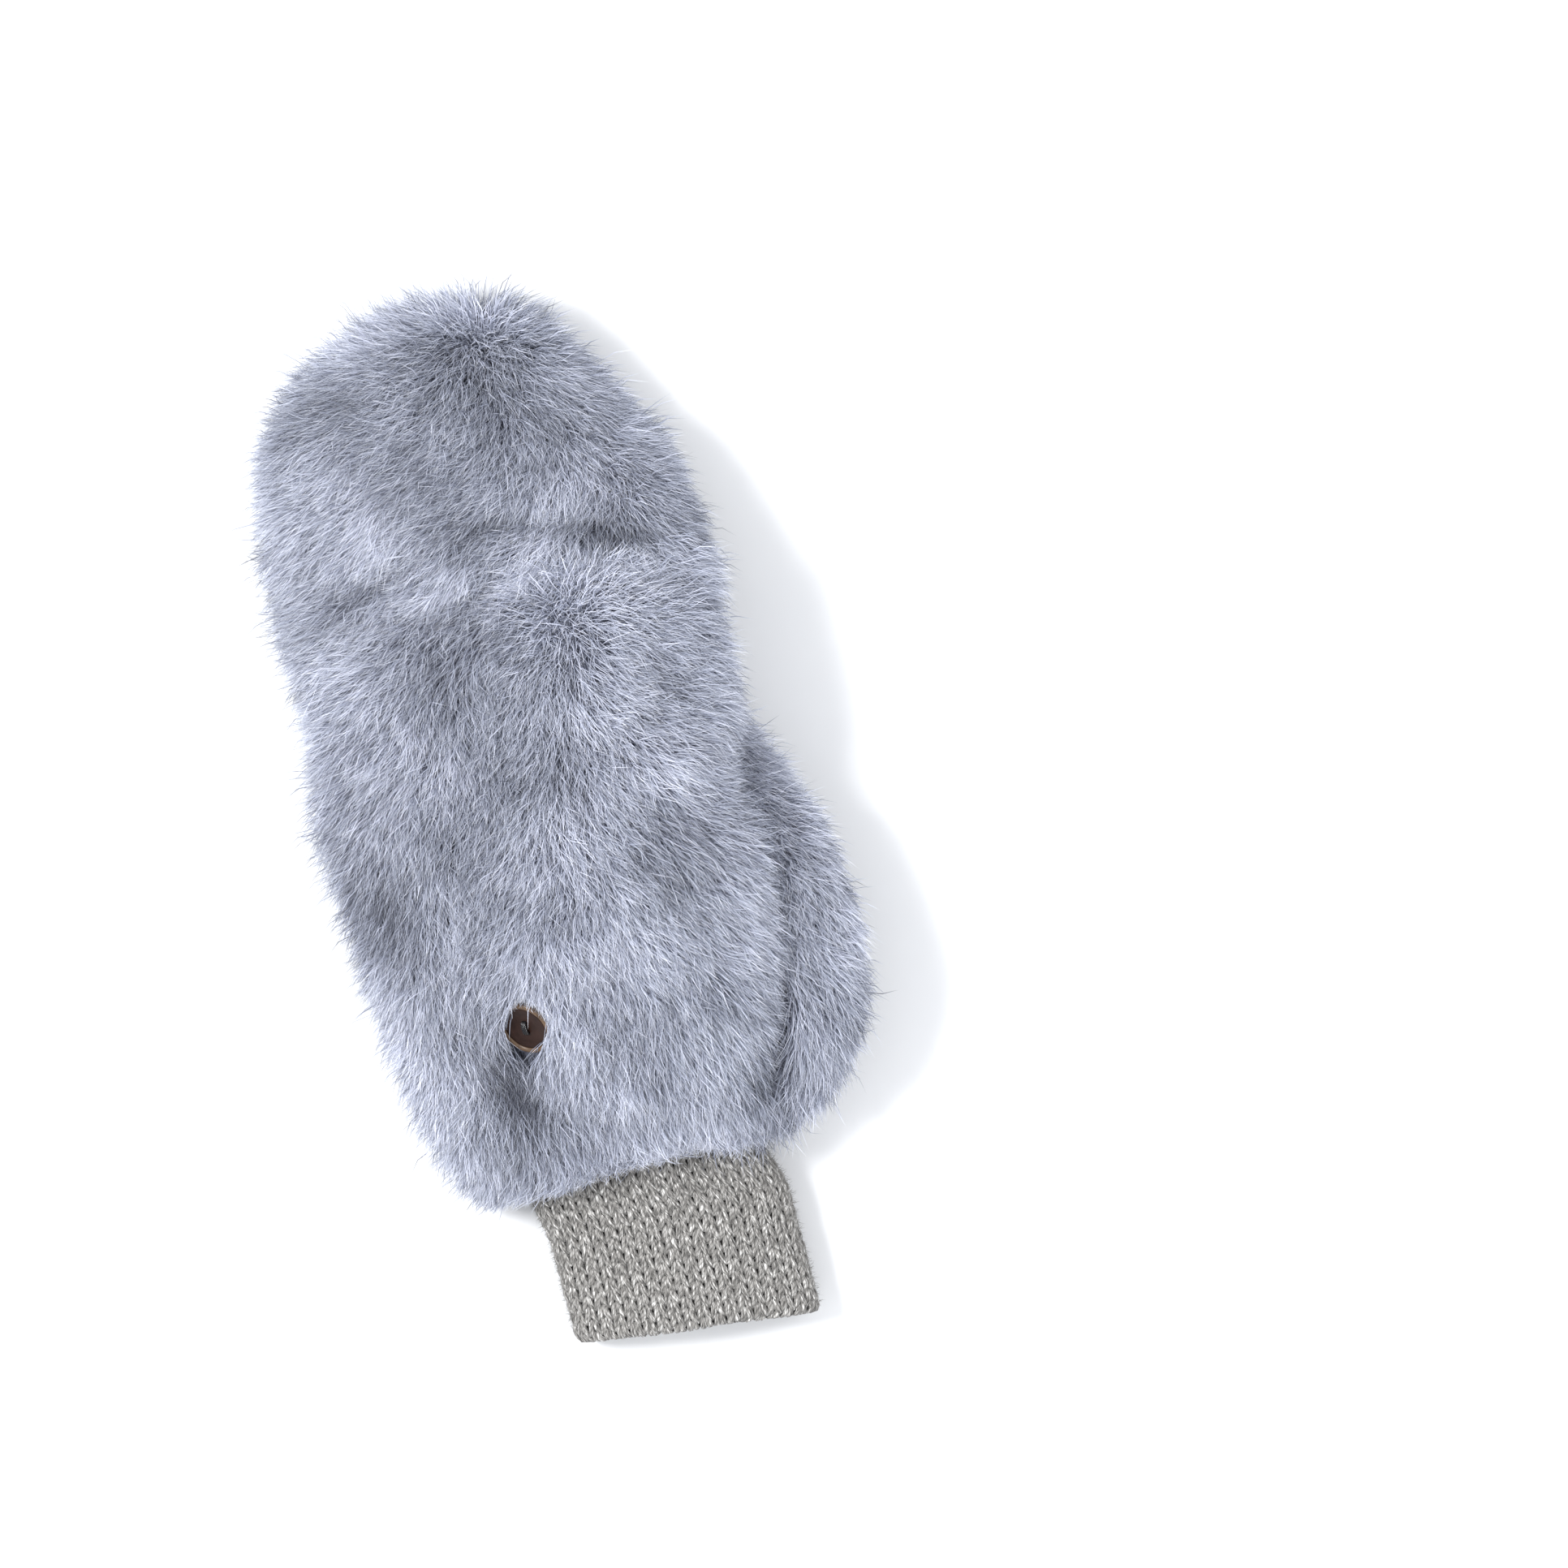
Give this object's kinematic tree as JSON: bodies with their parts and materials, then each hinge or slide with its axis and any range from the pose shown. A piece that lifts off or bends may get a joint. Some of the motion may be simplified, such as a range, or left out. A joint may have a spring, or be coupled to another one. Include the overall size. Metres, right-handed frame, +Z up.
{
  "type": "fur mitten",
  "caption": "Left-hand convertible faux-fur mitten lying palm down, with a flip-over fingertip cap, thumb folded under the palm, knitted cuff and sewn button.",
  "frame": {"origin": "bottom centre of the bounding box, on the surface that the mitten lies on", "axes": "+Y from the cuff to the fingertips, +Z up out of the back of the hand, +X towards the thumb side"},
  "size_m": [0.1358, 0.2842, 0.0677],
  "materials": {
    "fur": "soft blue-grey pile",
    "knit": "heather grey knit",
    "button": "polished dark brown with a tan rim",
    "thread": "waxed dark thread"
  },
  "bodies": {
    "root": {"hand_body": "fur", "flip_cap": "fur", "thumb": "fur", "knit_cuff": "knit", "button": "button", "button_thread": "thread"}
  },
  "joints": []
}
